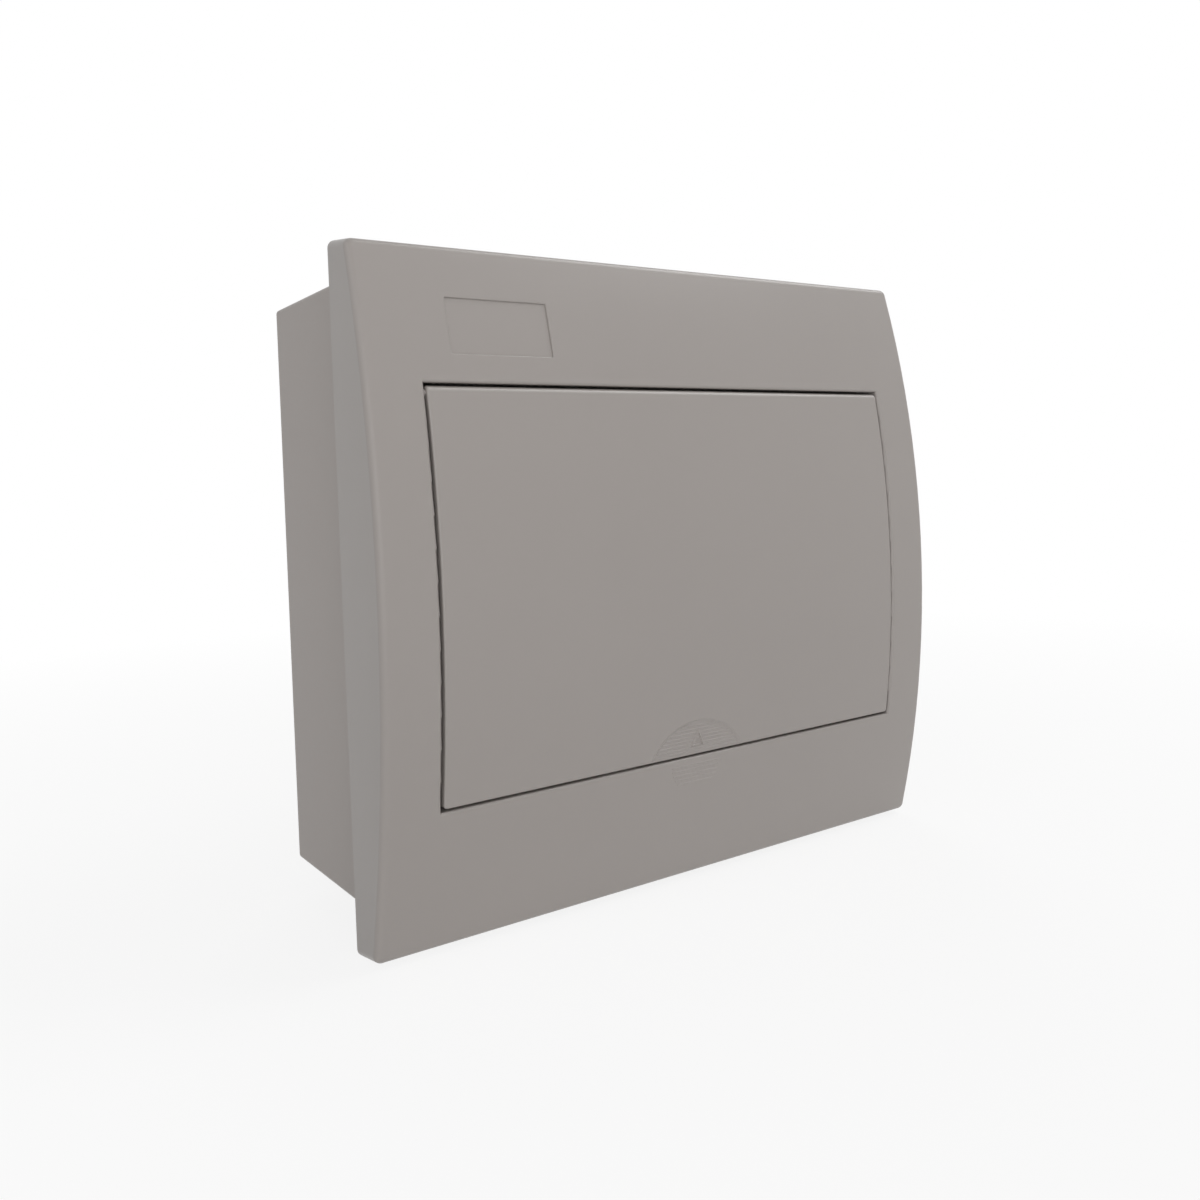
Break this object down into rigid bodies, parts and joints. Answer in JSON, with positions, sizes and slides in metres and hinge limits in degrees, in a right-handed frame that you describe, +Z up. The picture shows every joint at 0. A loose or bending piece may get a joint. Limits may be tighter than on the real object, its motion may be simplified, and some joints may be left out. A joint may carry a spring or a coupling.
{
  "type": "flush-mount distribution board",
  "caption": "Flush-mount distribution board: moulded wall box with rail and terminal bars, and a convex front frame with a flush door hinged at its top edge.",
  "frame": {"origin": "centre of the box's rear face, at the centre of the four wall-fixing holes", "axes": "+X to the right seen from the room, +Z up, +Y into the wall; the door faces -Y"},
  "size_m": [0.223, 0.0918, 0.205],
  "materials": {
    "front_abs": "moulded, fine matt grey",
    "box_abs": "moulded, plain matt grey",
    "zinc_steel": "zinc plated",
    "brass": "drawn bar, sawn ends",
    "blue_nylon": "moulded blue",
    "green_nylon": "moulded green"
  },
  "bodies": {
    "enclosure": {"back_box": "box_abs", "front_frame": "front_abs", "din_rail": "zinc_steel", "rail_screws": "zinc_steel", "cover_screws": "zinc_steel", "neutral_bar": "brass", "neutral_foot_left": "blue_nylon", "neutral_foot_right": "blue_nylon", "neutral_terminal_screws": "zinc_steel", "neutral_bar_screws": "zinc_steel", "earth_bar": "brass", "earth_foot_left": "green_nylon", "earth_foot_right": "green_nylon", "earth_terminal_screws": "zinc_steel", "earth_bar_screws": "zinc_steel", "blanking_plate_5": "front_abs", "blanking_plate_6": "front_abs", "blanking_plate_7": "front_abs", "blanking_plate_8": "front_abs"},
    "door": {"door": "front_abs"}
  },
  "joints": [
    {"name": "door_hinge", "type": "hinge", "parent": "enclosure", "child": "door", "pos_m": [0, -0.08549, 0.0574], "axis": [-1, 0, 0], "range_deg": [0, 105]}
  ]
}
